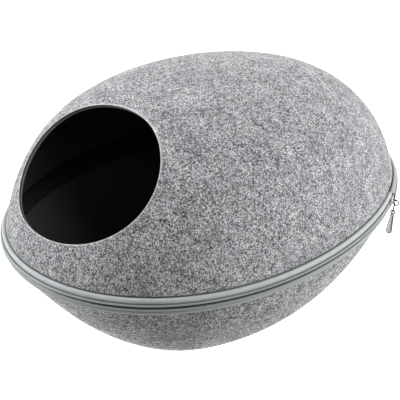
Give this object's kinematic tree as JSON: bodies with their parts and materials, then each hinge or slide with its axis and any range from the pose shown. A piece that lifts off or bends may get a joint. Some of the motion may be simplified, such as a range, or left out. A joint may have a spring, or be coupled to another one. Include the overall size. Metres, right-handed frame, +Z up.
{
  "type": "felt cat cave",
  "caption": "Egg-shaped cat cave of two moulded felt shells, zipped together round the waist, with a slanted oval entry and a flat base.",
  "frame": {"origin": "middle of the outline, on the surface that the cave stands on", "axes": "+Z up, +Y along the cave's length toward its closed back, so the entry faces -Y, and +X toward the side that the zip's slider is on"},
  "size_m": [0.367, 0.502, 0.2733],
  "materials": {
    "felt": "heathered grey needle felt",
    "lining": "matt black",
    "tape": "smooth grey-green woven tape",
    "coil": "grey-green nylon coil",
    "pull": "satin nickel"
  },
  "bodies": {
    "root": {"upper_felt": "felt", "lower_felt": "felt", "upper_lining": "lining", "lower_lining": "lining", "zip_tape_upper": "tape", "zip_tape_lower": "tape", "hinge_band": "tape", "zip_coil_upper": "coil", "zip_coil_lower": "coil", "slider_body": "pull", "pull_ring": "pull", "pull_link": "pull", "pull_tab": "pull"}
  },
  "joints": []
}
